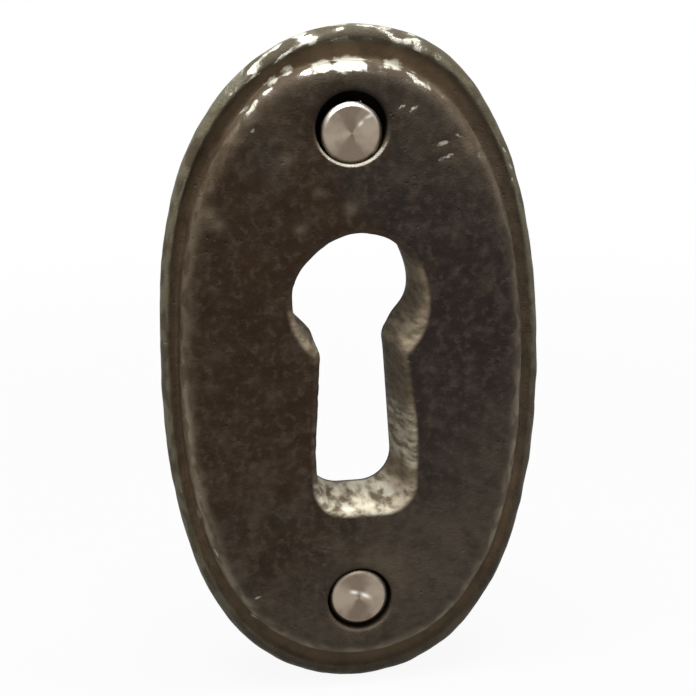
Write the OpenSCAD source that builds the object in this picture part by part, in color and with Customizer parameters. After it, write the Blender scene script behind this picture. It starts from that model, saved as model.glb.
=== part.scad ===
// Keyhole escutcheon: an oval cast iron plate with a moulded edge, a keyhole, and two turned
// steel pins that hold it to the door.
// It stands as it does on the door: X runs across it, Z up it, the front looks along -Y,
// and the back face lies on Y = 0. Sizes are in millimetres.

/* [Plate] */
// Height of the plate over its bead
plate_height = 54; // [50:0.5:60]
// Width of the plate over its bead
plate_width = 30.6; // [29:0.1:33]
// Thickness of the plate at its flat field
plate_thickness = 5.5; // [5:0.1:7]
// How much less than half the width the radius at the plate's two ends is
end_set = 2.8; // [2.6:0.1:3]
// How much larger the radius is along the middle of the sides than next to it
side_step = 31.25; // [25:3.125:37.5]
// How far the side wall is set in under the bead
wall_inset = 0.4; // [0.2:0.05:0.8]
// Chamfer along the back edge of the plate
back_chamfer = 0.3; // [0.1:0.05:0.6]

/* [Moulded edge] */
// Height of the bead over the back face
bead_height = 4.1; // [3.6:0.1:4.5]
// Radius of the bead's outer side
bead_round = 1.1; // [0.8:0.05:1.4]
// Width of the bead at the middle of the plate's sides
bead_side_width = 0.65; // [0.5:0.05:0.9]
// Width of the bead at the plate's two ends
bead_end_width = 1.2; // [0.9:0.05:1.6]
// Depth of the groove below the bead
groove_depth = 0.7; // [0.4:0.05:1]
// Width of the groove at the middle of the plate's sides
groove_side_width = 0.6; // [0.45:0.05:1]
// Width of the groove at the plate's two ends
groove_end_width = 1.35; // [0.9:0.05:2]
// How far the bead's inner wall leans out over the groove's depth
groove_lean = 0.25; // [0.1:0.05:0.35]
// Chamfer along the bead's inner edge
bead_chamfer = 0.15; // [0.05:0.05:0.25]
// Radius of the shoulder around the raised panel
shoulder_round = 1.4; // [0.8:0.1:1.6]

/* [Keyhole] */
// Diameter of the keyhole's round head
head_diameter = 10.2; // [9:0.1:11]
// Depth of the head's centre below the middle of the upper pin
head_below_pin = 12.8; // [12:0.1:14]
// Width of the slot where the head ends
neck_width = 6.1; // [5:0.1:6.6]
// Width of the slot at its foot
foot_width = 7.4; // [6.6:0.1:8]
// Height of the slot's foot over the middle of the lower pin
foot_above_pin = 8.1; // [7:0.1:9.5]
// Radius of the slot's two lower corners
corner_radius = 1.8; // [1:0.1:2]
// Radius that is left on the corner between head and slot at the front
neck_radius = 0.4; // [0.2:0.1:1]
// Radius of the worn edge around the front of the keyhole
lip_round = 0.75; // [0.3:0.05:1]
// How much further out each keyhole wall stands at the front than at the back
wall_draft = 0.15; // [0.05:0.05:0.4]

/* [Pins] */
// Diameter of the two pins where they sit in the plate
pin_diameter = 4.76; // [4.6:0.02:4.9]
// Diameter of each pin's shank behind the plate
shank_diameter = 4.5; // [3:0.1:4.5]
// Distance from each end of the plate to the middle of its pin
pin_end_distance = 8.1; // [7.6:0.1:9]
// Length of each pin behind the plate
pin_projection = 9; // [5:0.5:14]
// Depth of the pins' front faces below the field
pin_recess = 0.1; // [0.05:0.05:0.8]
// Chamfer around the front face of a pin
face_chamfer = 0.2; // [0.1:0.05:0.4]
// Chamfer around the rear end of a pin
tail_chamfer = 0.5; // [0.2:0.1:1]
// Gap between a pin and its hole, on the radius
pin_clearance = 0.02; // [0.01:0.01:0.08]

/* [Hole mouths] */
// Diameter of the upper hole's mouth
upper_mouth_diameter = 5.86; // [5.7:0.02:6.4]
// How far the upper mouth is cut above the middle of its pin
upper_mouth_shift = 0.3; // [0:0.05:0.35]
// Diameter of the lower hole's mouth
lower_mouth_diameter = 5.46; // [5.3:0.02:6.2]
// How far the lower mouth is cut below the middle of its pin
lower_mouth_shift = 0.08; // [0:0.02:0.12]
// Depth of both mouths below the field
mouth_depth = 2.2; // [1:0.1:3]
// Chamfer around the edge of a mouth
mouth_chamfer = 0.25; // [0.1:0.05:0.4]

/* [Hidden] */

// Overrun of each cut past the face that it starts from
overrun = 0.5;
// Facets of a full turn of a sweep
sweep_facets = 180;
// Straight steps across each round of a section
round_steps = 8;
// Straight steps along each arc in the sides of the panel's core
core_steps = 8;
// Lap of the panel's swept edge over its core
band_lap = 0.2;
// Lap of each round of the keyhole past the faces that it joins
round_lap = 0.01;

// Directions, as shares of a unit, in which an oval's arcs meet: side and flank, flank and haunch,
// haunch and end
flank_shares = [3116, 237] / 3125;
haunch_shares = [24, 7] / 25;
end_shares = [4, 3] / 5;
// Share of a side inset by which an inner oval's end radius is smaller
end_radius_share = 0.8;
// Reach of the wedges that part an oval's arcs, as a share of the side step
wedge_reach_share = 3;
// Width of the band that the rim's section sweeps, as a share of the bead's radius
rim_band_share = 3;
// Reach of the wedge that holds a neck round, as a share of the round's radius at the back
neck_reach_share = 1.25;

half_width = plate_width / 2;
half_height = plate_height / 2;
end_radius = half_width - end_set;
groove_floor = bead_height - groove_depth;
bead_axis_height = bead_height - bead_round;
pin_radius = pin_diameter / 2;
shank_radius = shank_diameter / 2;
pin_bore_radius = pin_radius + pin_clearance;
pin_height = half_height - pin_end_distance;

// Each oval is [half width, half height, end radius]
outline_oval = [half_width, half_height, end_radius];
groove_oval = inner_oval(bead_side_width, bead_end_width);
panel_oval = inner_oval(bead_side_width + groove_side_width, bead_end_width + groove_end_width);
wedge_reach = wedge_reach_share * side_step;

// Width of the swept band inside each oval
rim_band = rim_band_share * bead_round;
panel_band = shoulder_round + 2 * band_lap;
// How far the panel's core lies inside its oval
core_inset = shoulder_round + band_lap;

// How far the keyhole's edge is set back at the front
front_set = wall_draft + lip_round;

// The keyhole's outline at the back of the plate, right half
head_radius = head_diameter / 2;
head_rise = pin_height - head_below_pin;
foot_drop = pin_height - foot_above_pin;
flare = atan2((foot_width - neck_width) / 2, head_rise - head_radius + foot_drop);
head_centre = [0, head_rise];
neck_point = [neck_width / 2, head_rise - head_radius];
side_way = [sin(flare), -cos(flare)];
side_normal = [cos(flare), sin(flare)];
side_top = neck_point - head_radius / cos(flare) * side_way;
neck_fillet = neck_radius + front_set;
neck_reach = neck_reach_share * neck_fillet;
// Centre of the round between head and slot: at its radius from the head and from the slot's side
fillet_start = neck_point + neck_fillet * side_normal - head_centre;
fillet_slide = sqrt((fillet_start * side_way) ^ 2 - fillet_start * fillet_start
    + (head_radius + neck_fillet) ^ 2) - fillet_start * side_way;
fillet_centre = head_centre + fillet_start + fillet_slide * side_way;
fillet_angle = atan2(fillet_centre[1] - head_centre[1], fillet_centre[0]);
// Where the slot's side meets the head's circle
corner_slide = sqrt(head_radius ^ 2 - (head_centre * side_normal - neck_point * side_normal) ^ 2);
neck_corner = head_centre - ((head_centre - neck_point) * side_normal) * side_normal
    + corner_slide * side_way;
corner_height = corner_radius - foot_drop;
corner_centre = [
    neck_point[0] + (neck_point[1] - corner_height) * tan(flare) - corner_radius / cos(flare),
    corner_height
];

// An oval set in from the outline, by one inset at its sides and by another at its ends
function inner_oval(side, end) =
    [half_width - side, half_height - end, end_radius - end_radius_share * side];

// Growth of the radius at each meeting of two arcs, from the end towards the side
function radius_steps(oval) =
    let (
        wide = oval[0] - oval[2] - side_step * (1 - flank_shares[0]),
        high = oval[1] - oval[2] - side_step * flank_shares[1],
        end_rest = 1 - end_shares[0],
        haunch_rest = 1 - haunch_shares[0],
        both = end_rest * haunch_shares[1] - haunch_rest * end_shares[1]
    )
    [
        (wide * haunch_shares[1] - high * haunch_rest) / both,
        (high * end_rest - wide * end_shares[1]) / both,
        side_step
    ];

// Arcs of an oval that meet in tangents, as [centre, radius, first direction, last direction]:
// both ends, then the haunches and flanks in each quarter, then both sides
function oval_arcs(oval) =
    let (
        steps = radius_steps(oval),
        end_centre = [0, oval[1] - oval[2]],
        haunch_centre = end_centre - steps[0] * end_shares,
        flank_centre = haunch_centre - steps[1] * haunch_shares,
        haunch_radius = oval[2] + steps[0],
        flank_radius = haunch_radius + steps[1],
        side_radius = flank_radius + steps[2]
    )
    [
        for (y = [1, -1])
            [[0, y * end_centre[1]], oval[2], turned(end_shares, 1, y), turned(end_shares, -1, y)],
        for (x = [1, -1], y = [1, -1], arc = [
            [haunch_centre, haunch_radius, haunch_shares, end_shares],
            [flank_centre, flank_radius, flank_shares, haunch_shares]
        ])
            [turned(arc[0], x, y), arc[1], turned(arc[2], x, y), turned(arc[3], x, y)],
        for (x = [1, -1])
            [[x * (oval[0] - side_radius), 0], side_radius,
                turned(flank_shares, x, -1), turned(flank_shares, x, 1)]
    ];

function turned(point, x, y) = [x * point[0], y * point[1]];

// A ring with an oval outline: the section is turned about each arc's centre, between its wedges.
// The section's X runs outwards from the oval and its Y is height.
module oval_ring(oval) {
    for (arc = oval_arcs(oval))
        intersection() {
            translate([0, 0, -overrun])
                linear_extrude(plate_thickness + 2 * overrun)
                    polygon([arc[0], arc[0] + wedge_reach * arc[2], arc[0] + wedge_reach * arc[3]]);
            translate(arc[0])
                rotate_extrude($fn = sweep_facets)
                    translate([arc[1], 0])
                        children();
        }
}

// Points of the upper right quarter of an oval that is set in, from its side to its end
function quarter_points(oval, inset) =
    let (arcs = oval_arcs(oval))
    [
        for (arc = [arcs[len(arcs) - 2], arcs[3], arcs[2], arcs[0]])
            let (
                from = max(0, atan2(arc[2][1], arc[2][0])),
                to = min(90, atan2(arc[3][1], arc[3][0]))
            )
                for (step = [0 : core_steps - 1])
                    let (angle = from + (to - from) * (step + 0.5) / core_steps)
                        arc[0] + (arc[1] - inset) * [cos(angle), sin(angle)]
    ];

// Sweeps a section along a straight line, with the section's X to the right of the way along it
module sweep_line(from, to) {
    way = to - from;
    translate(from)
        rotate([90, 0, atan2(way[1], way[0]) - 90])
            mirror([0, 0, 1])
                linear_extrude(norm(way))
                    children();
}

// Points along a round in a section, from one angle to another
function round_points(centre, radius, from, to) =
    [
        for (step = [0 : round_steps])
            let (angle = from + (to - from) * step / round_steps)
                centre + radius * [cos(angle), sin(angle)]
    ];

// The plate's edge: a chamfered back corner, the side wall, and the bead standing out over it
module rim_section() {
    bead_underside = -acos(1 - wall_inset / bead_round);
    polygon(concat(
        [
            [-rim_band, 0],
            [-wall_inset - back_chamfer, 0],
            [-wall_inset, back_chamfer]
        ],
        round_points([-bead_round, bead_axis_height], bead_round, bead_underside, 90),
        [[-rim_band, bead_height]]
    ));
}

// What the groove takes away, up to and over the bead's inner edge
module groove_section() {
    polygon([
        [-rim_band, groove_floor],
        [-groove_lean, groove_floor],
        [0, bead_height - bead_chamfer],
        [bead_chamfer, bead_height],
        [bead_chamfer, bead_height + overrun],
        [-rim_band, bead_height + overrun]
    ]);
}

// The raised panel: a low wall out of the groove, and the round shoulder
module panel_section() {
    shoulder_axis = [-shoulder_round, plate_thickness - shoulder_round];
    polygon(concat(
        [[-panel_band, 0], [0, 0]],
        round_points(shoulder_axis, shoulder_round, 0, 90),
        [[-panel_band, plate_thickness]]
    ));
}

// The moulded edge: the bead and its groove, and the shoulder of the panel inside them
module moulded_edge() {
    difference() {
        oval_ring(outline_oval)
            rim_section();
        oval_ring(groove_oval)
            groove_section();
    }
    oval_ring(panel_oval)
        panel_section();
}

// The middle of the plate, out to the start of the shoulder
module panel_core() {
    quarter = quarter_points(panel_oval, core_inset);
    last = len(quarter) - 1;
    linear_extrude(plate_thickness)
        polygon([
            for (point = quarter) point,
            for (k = [0 : last]) turned(quarter[last - k], -1, 1),
            for (point = quarter) -point,
            for (k = [0 : last]) turned(quarter[last - k], 1, -1)
        ]);
}

// What the keyhole takes away: a wall that leans out by the draft, and a worn round at the front.
// The wall stands at the given radius at the back, and the section runs in from it by the band.
module keyhole_section(radius, band) {
    polygon(concat(
        [[radius - band, -overrun], [radius, -overrun], [radius, 0]],
        round_points([radius + front_set, plate_thickness + round_lap - lip_round], lip_round, 180, 90),
        [[radius + front_set, plate_thickness + overrun], [radius - band, plate_thickness + overrun]]
    ));
}

// A round cut with the keyhole's wall and lip
module keyhole_bore(centre, radius) {
    translate(centre)
        rotate_extrude($fn = sweep_facets)
            keyhole_section(radius, radius);
}

// The right side of the slot, from its lower corner up to the middle of the head
module slot_side() {
    sweep_line(corner_centre + corner_radius * side_normal, side_top)
        keyhole_section(0, corner_radius);
}

// The foot of the slot
module slot_foot() {
    sweep_line([-corner_centre[0], -foot_drop], [corner_centre[0], -foot_drop])
        keyhole_section(0, corner_radius);
}

// The middle of the slot, inside the bands of its sides and foot
module slot_middle() {
    inset = corner_radius / 2;
    translate([0, 0, -overrun])
        linear_extrude(plate_thickness + 2 * overrun)
            polygon([
                [corner_centre[0] + inset, inset - foot_drop],
                [side_top[0] - inset, head_rise],
                [inset - side_top[0], head_rise],
                [-corner_centre[0] - inset, inset - foot_drop]
            ]);
}

// What rounds off the right corner between the head and the slot
module neck_round() {
    intersection() {
        translate([0, 0, -overrun])
            linear_extrude(plate_thickness + 2 * overrun)
                polygon([
                    fillet_centre,
                    fillet_centre + neck_reach * [-cos(fillet_angle), -sin(fillet_angle)],
                    fillet_centre + neck_reach * (neck_corner - fillet_centre) / neck_fillet,
                    fillet_centre - neck_reach * side_normal
                ]);
        translate(fillet_centre)
            rotate_extrude($fn = sweep_facets)
                translate([neck_fillet + round_lap, 0])
                    mirror([1, 0])
                        keyhole_section(0, neck_fillet);
    }
}

// A fixing hole: the bore that grips the pin, and a wider mouth cut off its centre
module fixing_hole(height, mouth_diameter, mouth_shift) {
    mouth_radius = mouth_diameter / 2;
    translate([0, height, -overrun])
        cylinder(h = plate_thickness + 2 * overrun, r = pin_bore_radius, $fn = sweep_facets);
    translate([0, height + mouth_shift, plate_thickness - mouth_depth])
        cylinder(h = mouth_depth + overrun, r = mouth_radius, $fn = sweep_facets);
    translate([0, height + mouth_shift, plate_thickness - mouth_chamfer])
        cylinder(
            h = mouth_chamfer + overrun,
            r1 = mouth_radius,
            r2 = mouth_radius + mouth_chamfer + overrun,
            $fn = sweep_facets
        );
}

// A turned pin on the Z axis, its flat front face up, with a shoulder where its shank starts
module pin() {
    top = plate_thickness - pin_recess;
    rotate_extrude($fn = sweep_facets)
        polygon([
            [0, -pin_projection],
            [shank_radius - tail_chamfer, -pin_projection],
            [shank_radius, tail_chamfer - pin_projection],
            [shank_radius, 0],
            [pin_radius, 0],
            [pin_radius, top - face_chamfer],
            [pin_radius - face_chamfer, top],
            [0, top]
        ]);
}

// Turns a piece drawn lying on its back so that it stands upright with its front towards -Y
module upright() {
    rotate([90, 0, 0])
        children();
}

module escutcheon_plate() {
    color("#3a332c")
        upright() {
            moulded_edge();
            difference() {
                panel_core();
                slot_middle();
                neck_round();
                mirror([1, 0, 0])
                    neck_round();
                keyhole_bore(head_centre, head_radius);
                slot_side();
                mirror([1, 0, 0])
                    slot_side();
                slot_foot();
                keyhole_bore(corner_centre, corner_radius + round_lap);
                mirror([1, 0, 0])
                    keyhole_bore(corner_centre, corner_radius + round_lap);
                fixing_hole(pin_height, upper_mouth_diameter, upper_mouth_shift);
                fixing_hole(-pin_height, lower_mouth_diameter, -lower_mouth_shift);
            }
        }
}

module upper_pin() {
    color("#9a8a7c")
        upright()
            translate([0, pin_height, 0])
                pin();
}

module lower_pin() {
    color("#9a8a7c")
        upright()
            translate([0, -pin_height, 0])
                pin();
}

escutcheon_plate();
upper_pin();
lower_pin();
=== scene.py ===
"""Keyhole escutcheon: a worn cast iron plate with a moulded edge, and two turned steel pins.

The plate follows the solid's moulding section by section, with the waviness, dents and rough keyhole
walls of an old casting. Shape sizes are in millimetres and become metres when a mesh is made. Across is
the frame's X, up is its Z, and height is measured forwards from the back face, along -Y.
"""

import logging
import math
from dataclasses import dataclass, field
from enum import Enum

import bmesh
import bpy
import numpy as np
from mathutils import Matrix, Vector, noise
from mathutils.geometry import delaunay_2d_cdt


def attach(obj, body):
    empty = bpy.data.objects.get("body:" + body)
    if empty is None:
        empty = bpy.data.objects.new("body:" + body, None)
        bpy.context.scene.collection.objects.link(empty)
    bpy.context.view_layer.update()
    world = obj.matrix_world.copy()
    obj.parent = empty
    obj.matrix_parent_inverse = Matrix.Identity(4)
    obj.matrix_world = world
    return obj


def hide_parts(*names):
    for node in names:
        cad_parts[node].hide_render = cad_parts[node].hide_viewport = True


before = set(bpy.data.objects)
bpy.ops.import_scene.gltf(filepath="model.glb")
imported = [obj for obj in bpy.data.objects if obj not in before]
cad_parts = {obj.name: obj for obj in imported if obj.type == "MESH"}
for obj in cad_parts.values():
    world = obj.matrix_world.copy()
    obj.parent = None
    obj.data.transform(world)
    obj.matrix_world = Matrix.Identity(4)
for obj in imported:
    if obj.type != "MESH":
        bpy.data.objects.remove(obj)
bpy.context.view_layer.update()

MM = 0.001
FULL_TURN = 2 * math.pi
MARK_LIMIT = 2.5
MOUTH_LIP_SHARES = ((0.0, 3.6), (0.0, 2.4), (0.0, 1.3), (0.12, 0.7), (0.4, 0.3), (0.8, 0.08), (1.3, 0.0))

logging.basicConfig(level=logging.INFO, format="%(message)s")
log = logging.getLogger("escutcheon")


class Body(Enum):
    """The bodies that pieces ride on."""

    ROOT = "root"


class Slot(Enum):
    """The record's material slots."""

    IRON = "iron"
    STEEL = "steel"


class Zone(Enum):
    """The parts of the plate's surface that age or take painted light in different ways, each a mask on its
    points: the mouth mask is painted shade, and the shoulder, bare and pale masks hold painted highlights as
    well as wear.
    """

    BEAD = "bead"
    GROOVE = "groove"
    SHOULDER = "shoulder"
    LIP = "lip"
    WALL = "wall"
    # Painted shade deep in the fixing holes' mouths and on the field just above them.
    MOUTH_SHADE = "mouth"
    BARE = "bare"
    PALE = "pale"
    STREAK = "streak"


@dataclass(frozen=True)
class Oval:
    """An oval of tangent arcs: two ends, and a haunch, a flank and half a side in each quarter.

    Args:
        half_width: Half of its width.
        half_height: Half of its height.
        end_radius: Radius of its two ends.
        side_step: Growth of the radius from a flank to a side.
    """

    half_width: float
    half_height: float
    end_radius: float
    side_step: float = 31.25

    def quarter(self) -> list[tuple[np.ndarray, float, float]]:
        """Gives the arcs of the first quarter.

        Returns:
            A centre, a radius and the direction that the arc starts from, end first and side last.
        """
        end_way, haunch_way = np.array([0.8, 0.6]), np.array([0.96, 0.28])
        flank_way = np.array([0.99712, 0.07584])
        wide = self.half_width - self.end_radius - self.side_step * (1 - flank_way[0])
        high = self.half_height - self.end_radius - self.side_step * flank_way[1]
        both = (1 - end_way[0]) * haunch_way[1] - (1 - haunch_way[0]) * end_way[1]
        haunch_step = (wide * haunch_way[1] - high * (1 - haunch_way[0])) / both
        flank_step = (high * (1 - end_way[0]) - wide * end_way[1]) / both
        centre, radius, arcs = np.array([0.0, self.half_height - self.end_radius]), self.end_radius, []
        for way, step in ((end_way, haunch_step), (haunch_way, flank_step), (flank_way, self.side_step)):
            arcs.append((centre, radius, math.atan2(way[1], way[0])))
            centre, radius = centre - step * way, radius + step
        arcs.append((centre, radius, 0.0))
        return arcs

    def edge(self, directions: np.ndarray, inset: np.ndarray | float = 0.0) -> np.ndarray:
        """Finds the points whose normals look in given directions.

        Args:
            directions: Angles from the right, in radians.
            inset: How far each point is moved in along its normal.

        Returns:
            Points across and up, one row each.
        """
        ways = np.stack([np.cos(directions), np.sin(directions)], 1)
        folded = np.arctan2(np.abs(ways[:, 1]), np.abs(ways[:, 0]))
        centres, radii = np.zeros_like(ways), np.zeros(len(ways))
        upper = math.pi
        for centre, radius, start in self.quarter():
            here = (folded >= start) & (folded < upper)
            centres[here], radii[here], upper = centre, radius, start
        return centres * np.sign(ways) + ways * (radii - inset)[:, None]

    def even_directions(self, count: int, samples: int = 20001) -> np.ndarray:
        """Spreads directions so that their points stand evenly along the oval.

        Args:
            count: How many directions.
            samples: Fineness of the length that they are read from.

        Returns:
            Angles from the right, in radians.
        """
        directions = np.linspace(0, FULL_TURN, samples)
        gaps = np.linalg.norm(np.diff(self.edge(directions), axis=0), axis=1)
        length = np.concatenate([[0], np.cumsum(gaps)])
        return np.interp(np.arange(count) / count * length[-1], length, directions)


@dataclass(frozen=True)
class Mark:
    """A dent, chip or worn spot on the front of the plate, or a painted highlight laid as bare metal.

    Args:
        across: Place to the right of the middle.
        up: Place over the middle.
        reach: Radius of the spot.
        depth: How deep it sinks into the casting.
        bare: How much metal shows in it, worn through or laid as a painted highlight.
        pale: How much lighter its skin is.
        stretch: How many times longer than wide it is.
        turn: Direction of its length, in degrees from the right.
    """

    across: float
    up: float
    reach: float
    depth: float = 0.0
    bare: float = 0.0
    pale: float = 0.0
    stretch: float = 1.0
    turn: float = 0.0

    def closeness(self, places: np.ndarray) -> np.ndarray:
        """Gives how much each place lies in the mark, from 1 at its middle to 0 outside.

        Args:
            places: Points in the frame, in millimetres.

        Returns:
            The share at each point.
        """
        gap_x, gap_z = places[:, 0] - self.across, places[:, 2] - self.up
        turn = math.radians(self.turn)
        along = (gap_x * math.cos(turn) + gap_z * math.sin(turn)) / self.stretch
        aside = gap_z * math.cos(turn) - gap_x * math.sin(turn)
        gap = np.hypot(along, aside) / self.reach
        return np.where(gap < MARK_LIMIT, np.exp(-gap ** 2), 0.0)


@dataclass(frozen=True)
class Swerve:
    """A place where the keyhole's wall leaves its drawn line, more at the front or at the back.

    Args:
        across: Place to the right of the middle.
        up: Place over the middle.
        reach_across: Half of its width.
        reach_up: Half of its height.
        front: How far the lip moves into the metal there.
        back: How far the edge of the back face does.
    """

    across: float
    up: float
    reach_across: float
    reach_up: float
    front: float
    back: float

    def shift(self, spots: np.ndarray, share: float) -> np.ndarray:
        """Gives how far each spot moves into the metal.

        Args:
            spots: Points across and up.
            share: Height of the row, from 0 at the back face to 1 at the front.

        Returns:
            The move at each point.
        """
        gap = ((spots[:, 0] - self.across) / self.reach_across) ** 2
        gap += ((spots[:, 1] - self.up) / self.reach_up) ** 2
        return np.exp(-gap) * (self.back + (self.front - self.back) * share)


KEYHOLE_SWERVES = (
    Swerve(-4.1, 2.4, 1.9, 1.9, -0.05, -0.48),
    Swerve(4.0, 3.4, 1.4, 1.5, 0.05, -0.50),
    Swerve(-3.3, 10.0, 2.5, 2.2, -0.28, -0.10),
    Swerve(3.4, 10.0, 1.6, 1.6, 0.0, 0.32),
    Swerve(3.4, -4.5, 1.2, 4.5, 0.42, 0.0),
    Swerve(4.6, 7.2, 1.6, 2.6, -0.28, 0.0),
    Swerve(-3.5, -9.8, 1.3, 2.2, -0.32, 0.0),
)


class Shell:
    """Collects the points, masks and faces of one closed mesh."""

    def __init__(self) -> None:
        """Starts with nothing."""
        self.points: list[np.ndarray] = []
        self.masks: list[np.ndarray] = []
        self.faces: list[tuple[int, ...]] = []
        self.count = 0

    def add(self, points: np.ndarray, masks: dict[Zone, np.ndarray | float]) -> np.ndarray:
        """Adds points with their masks.

        Args:
            points: Across, up and height, one row each.
            masks: The masks that aren't zero there.

        Returns:
            Numbers of the new points.
        """
        values = np.zeros((len(points), len(Zone)))
        for column, zone in enumerate(Zone):
            values[:, column] = masks.get(zone, 0.0)
        self.points.append(np.asarray(points, float))
        self.masks.append(values)
        self.count += len(points)
        return np.arange(self.count - len(points), self.count)

    def bridge(self, first: np.ndarray, second: np.ndarray) -> None:
        """Joins two closed rows of as many points by a band of quads.

        Args:
            first: Numbers of the first row's points.
            second: Numbers of the second row's points.
        """
        after = np.roll(np.arange(len(first)), -1)
        for here, there in enumerate(after):
            self.faces.append((first[here], first[there], second[there], second[here]))

    def cap(self, rim: np.ndarray) -> None:
        """Closes a row by a fan about its middle.

        Args:
            rim: Numbers of the row's points.
        """
        centre = self.add(np.concatenate(self.points)[rim].mean(0)[None], {})[0]
        for here, there in zip(rim, np.roll(rim, -1)):
            self.faces.append((here, there, centre))

    def fill(self, loops: list[np.ndarray], height: float, spacing: float,
             clear_share: float = 0.62, merge_gap: float = 1e-6) -> None:
        """Fills the flat area inside the first loop and outside the others.

        Args:
            loops: Numbers of the points of each closed loop, the outer one first.
            height: Height of the new points between them.
            spacing: Distance between these.
            clear_share: How far they stay off the loops, as a share of the spacing.
            merge_gap: Points closer than this count as one.
        """
        placed = np.concatenate(self.points)
        rims = [placed[loop][:, :2] for loop in loops]
        low, high = rims[0].min(0), rims[0].max(0)
        row_gap = spacing * math.sqrt(3) / 2
        rows = np.arange(low[1], high[1], row_gap)
        spots = np.concatenate([
            np.stack([np.arange(low[0] + spacing / 2 * (k % 2), high[0], spacing)] * 2, 1) * [1, 0] + [0, up]
            for k, up in enumerate(rows)
        ])
        spots = spots[in_region(spots, rims)]
        near = np.ones(len(spots), bool)
        for rim in rims:
            gaps = np.linalg.norm(spots[:, None] - rim[None], axis=2).min(1)
            near &= gaps > spacing * clear_share
        spots = spots[near]
        inner = self.add(np.column_stack([spots, np.full(len(spots), height)]), {})
        known = np.concatenate([*loops, inner])
        flat = np.concatenate([*rims, spots])
        edges, start = [], 0
        for rim in rims:
            edges += [(start + k, start + (k + 1) % len(rim)) for k in range(len(rim))]
            start += len(rim)
        made = delaunay_2d_cdt([Vector(p) for p in flat], edges, [], 0, merge_gap)
        verts, triangles, sources = np.array([tuple(v) for v in made[0]]), np.array(made[2]), made[3]
        kept = in_region(verts[triangles].mean(1), rims)
        for triangle in triangles[kept]:
            self.faces.append(tuple(known[sources[corner][0]] for corner in triangle))

    def mesh(self, name: str) -> bpy.types.Mesh:
        """Makes the mesh, in metres and with its normals outwards.

        Args:
            name: Name of the mesh.

        Returns:
            The mesh, whose masks are point attributes.
        """
        points, masks = np.concatenate(self.points), np.concatenate(self.masks)
        mesh = bpy.data.meshes.new(name)
        placed = np.stack([points[:, 0], -points[:, 2], points[:, 1]], 1) * MM
        mesh.from_pydata(placed.tolist(), [], [tuple(int(i) for i in face) for face in self.faces])
        for column, zone in enumerate(Zone):
            attribute = mesh.attributes.new(zone.value, "FLOAT", "POINT")
            attribute.data.foreach_set("value", masks[:, column].astype(np.float32))
        shape = bmesh.new()
        shape.from_mesh(mesh)
        bmesh.ops.recalc_face_normals(shape, faces=shape.faces)
        shape.to_mesh(mesh)
        shape.free()
        mesh.polygons.foreach_set("use_smooth", [True] * len(mesh.polygons))
        return mesh


def in_region(spots: np.ndarray, rims: list[np.ndarray]) -> np.ndarray:
    """Tells which spots lie inside the first rim and outside the others.

    Args:
        spots: Points across and up.
        rims: Closed outlines.

    Returns:
        True for each spot that does.
    """
    crossings = np.zeros(len(spots), int)
    for rim in rims:
        after = np.roll(rim, -1, axis=0)
        for (x1, y1), (x2, y2) in zip(rim, after):
            spans = (y1 > spots[:, 1]) != (y2 > spots[:, 1])
            if spans.any():
                along = (spots[:, 1] - y1) / (y2 - y1 if y2 != y1 else 1.0)
                crossings += spans & (spots[:, 0] < x1 + along * (x2 - x1))
    return crossings % 2 == 1


@dataclass(frozen=True)
class Ripple:
    """Smooth unevenness of a surface.

    Args:
        height: How far its lumps stand out and sink in.
        pitch: Size of its largest lumps.
        octaves: How many sizes of lump it has.
        seed: Where in the noise the surface lies.
    """

    height: float
    pitch: float
    octaves: int = 3
    seed: float = 0.0

    def at(self, points: np.ndarray) -> np.ndarray:
        """Reads the unevenness at each point.

        Args:
            points: Places in millimetres.

        Returns:
            How far the surface stands out there.
        """
        shift = Vector((self.seed, self.seed * 1.7, -self.seed))
        return self.height * np.array([
            noise.fractal(Vector(p) / self.pitch + shift, 1.0, 2.0, self.octaves,
                          noise_basis="PERLIN_ORIGINAL")
            for p in points
        ])


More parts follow.
